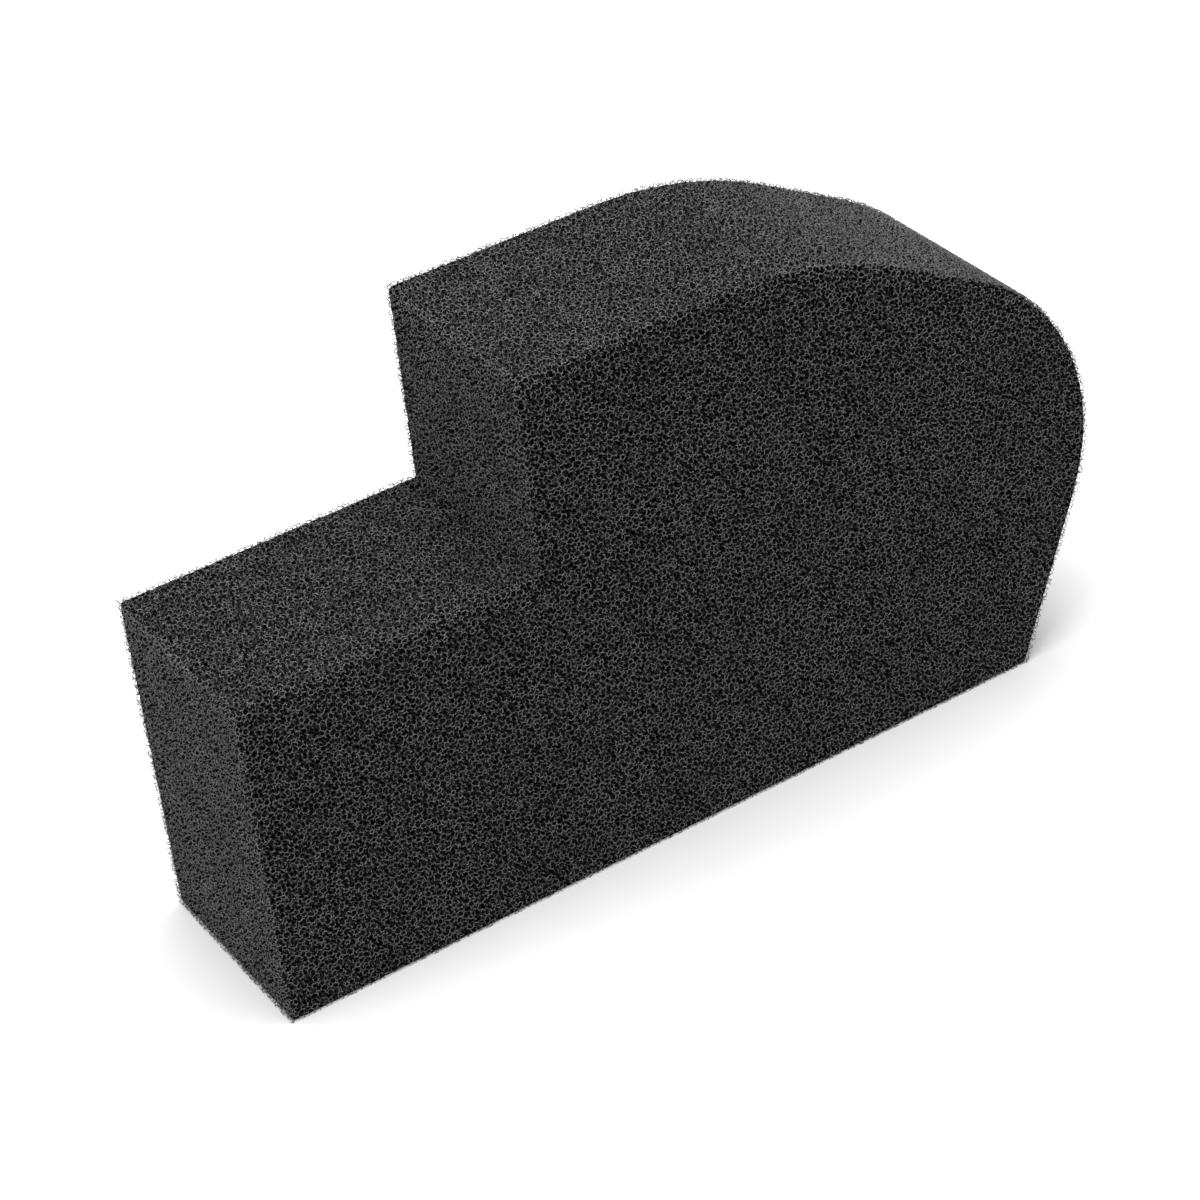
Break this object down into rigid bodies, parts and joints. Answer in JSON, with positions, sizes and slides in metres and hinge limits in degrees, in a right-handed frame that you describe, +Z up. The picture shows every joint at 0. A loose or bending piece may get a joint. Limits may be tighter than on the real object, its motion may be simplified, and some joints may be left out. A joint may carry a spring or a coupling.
{
  "type": "filter foam block",
  "caption": "Block of open-cell filter foam with a low flat ledge at one end and a sloped, round-shouldered top that leans back in to its foot.",
  "frame": {"origin": "middle of the outer box's underside, on the flat face that the block stands on", "axes": "+X along the length, from the ledge towards the rounded shoulder; +Y through the slab's thickness; +Z up"},
  "size_m": [0.2126, 0.05, 0.1265],
  "materials": {
    "foam": "matte"
  },
  "bodies": {
    "root": {"foam_block": "foam"}
  },
  "joints": []
}
